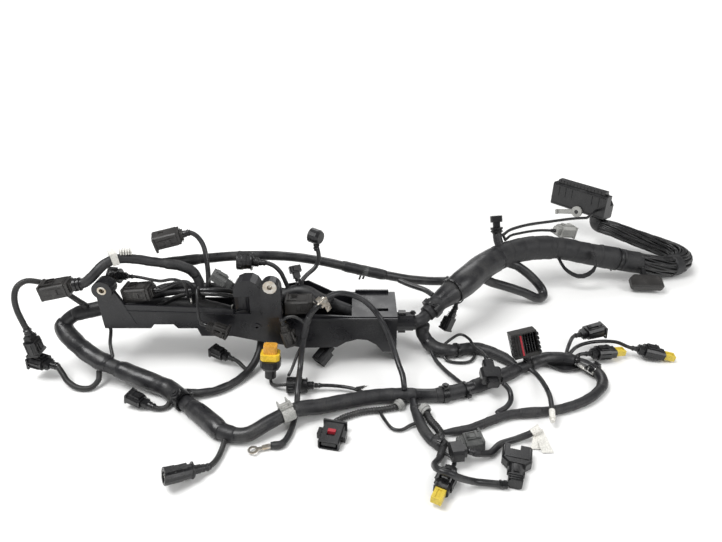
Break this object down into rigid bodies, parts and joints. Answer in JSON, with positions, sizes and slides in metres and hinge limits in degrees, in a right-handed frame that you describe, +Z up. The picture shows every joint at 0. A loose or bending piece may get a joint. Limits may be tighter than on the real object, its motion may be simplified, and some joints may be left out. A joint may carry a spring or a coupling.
{
  "type": "wiring harness",
  "caption": "Black engine wiring harness with a moulded cable channel, taped trunks, sleeved leads and many plugs",
  "frame": {"origin": "Middle of the footprint, on the bench that the harness lies on", "axes": "+Z up, +X to the right along the cable channel, +Y away from the front edge of the bench"},
  "size_m": [1.0292, 0.7119, 0.173],
  "materials": {
    "black_plastic": "moulded nylon, satin",
    "channel_plastic": "moulded nylon, satin with scuffs",
    "brown_black_plastic": "moulded nylon, satin, slightly brown",
    "grey_plastic": "moulded nylon, satin grey",
    "light_grey_plastic": "moulded nylon, satin pale grey",
    "white_plastic": "moulded nylon, satin white",
    "yellow_plastic": "moulded nylon, satin yellow",
    "amber_plastic": "moulded plastic, amber",
    "red_plastic": "moulded nylon, satin red",
    "cloth_tape": "woven tape, dull",
    "sleeving": "ribbed tube and tape, satin",
    "bundled_wires": "insulated wires side by side, glossy",
    "plated_steel": "zinc plated, worn"
  },
  "bodies": {
    "root": {"block_lead": "sleeving", "branch_plug": "black_plastic", "cable_channel": "channel_plastic", "cable_strap": "cloth_tape", "cam_plug": "grey_plastic", "channel_loom": "cloth_tape", "coil_plug_1": "brown_black_plastic", "coil_plug_2": "brown_black_plastic", "coil_plug_3": "brown_black_plastic", "coil_plug_4": "brown_black_plastic", "control_bundle": "bundled_wires", "control_plug": "black_plastic", "coolant_plug": "grey_plastic", "crank_plug": "black_plastic", "edge_clip": "white_plastic", "flat_plug": "brown_black_plastic", "front_trunk": "sleeving", "grey_pair_plug": "grey_plastic", "grey_plug": "light_grey_plastic", "grey_small_plug": "grey_plastic", "ground_lead": "sleeving", "hanging_plug": "black_plastic", "header_plug": "black_plastic", "injector_plug_1": "black_plastic", "injector_plug_2": "black_plastic", "injector_plug_3": "black_plastic", "injector_plug_4": "black_plastic", "inline_plug": "black_plastic", "junction_block": "black_plastic", "knock_plug": "black_plastic", "left_lug_sleeve": "plated_steel", "lower_bundle": "cloth_tape", "main_trunk": "cloth_tape", "middle_lug_sleeve": "plated_steel", "oil_plug": "black_plastic", "pressure_lead": "sleeving", "pressure_map_plug": "black_plastic", "pressure_nose": "amber_plastic", "pressure_plug": "black_plastic", "probe_plug_lower": "black_plastic", "probe_plug_upper": "black_plastic", "right_bundle": "cloth_tape", "ring_terminal": "plated_steel", "riser_plug": "black_plastic", "round_plug_left": "black_plastic", "round_plug_middle": "black_plastic", "round_plug_raised": "black_plastic", "throttle_plug": "black_plastic", "upper_bundle": "cloth_tape", "upright_plug": "black_plastic", "valve_lead": "sleeving", "valve_plug": "black_plastic"},
    "lever": {"control_lever": "light_grey_plastic"},
    "middle_lock": {"injector_lock_2": "yellow_plastic"},
    "right_lock": {"injector_lock_3": "yellow_plastic"},
    "front_lock": {"injector_lock_4": "yellow_plastic"},
    "throttle_slide": {"throttle_lock": "red_plastic"},
    "header_slide": {"header_lock": "red_plastic"},
    "pressure_slide": {"pressure_lock": "yellow_plastic"}
  },
  "joints": [
    {"name": "lever_hinge", "type": "hinge", "parent": "root", "child": "lever", "pos_m": [0.34394, 0.28864, 0.0603], "axis": [0.7986, 0.6018, 0], "range_deg": [0, 70]},
    {"name": "middle_lock_slide", "type": "slide", "parent": "root", "child": "middle_lock", "axis": [-0.9875, -0.1543, 0.0309], "range_m": [0, 0.004]},
    {"name": "right_lock_slide", "type": "slide", "parent": "root", "child": "right_lock", "axis": [-0.9733, 0.1622, 0.1622], "range_m": [0, 0.004]},
    {"name": "front_lock_slide", "type": "slide", "parent": "root", "child": "front_lock", "axis": [0.4567, 0.8872, -0.0652], "range_m": [0, 0.004]},
    {"name": "throttle_lock_slide", "type": "slide", "parent": "root", "child": "throttle_slide", "axis": [-0.2149, -0.9766, 0], "range_m": [0, 0.004]},
    {"name": "header_lock_slide", "type": "slide", "parent": "root", "child": "header_slide", "axis": [0, -0.9511, 0.309], "range_m": [0, 0.004]},
    {"name": "pressure_lock_slide", "type": "slide", "parent": "root", "child": "pressure_slide", "axis": [0.0595, 0.1189, 0.9911], "range_m": [0, 0.004]}
  ]
}
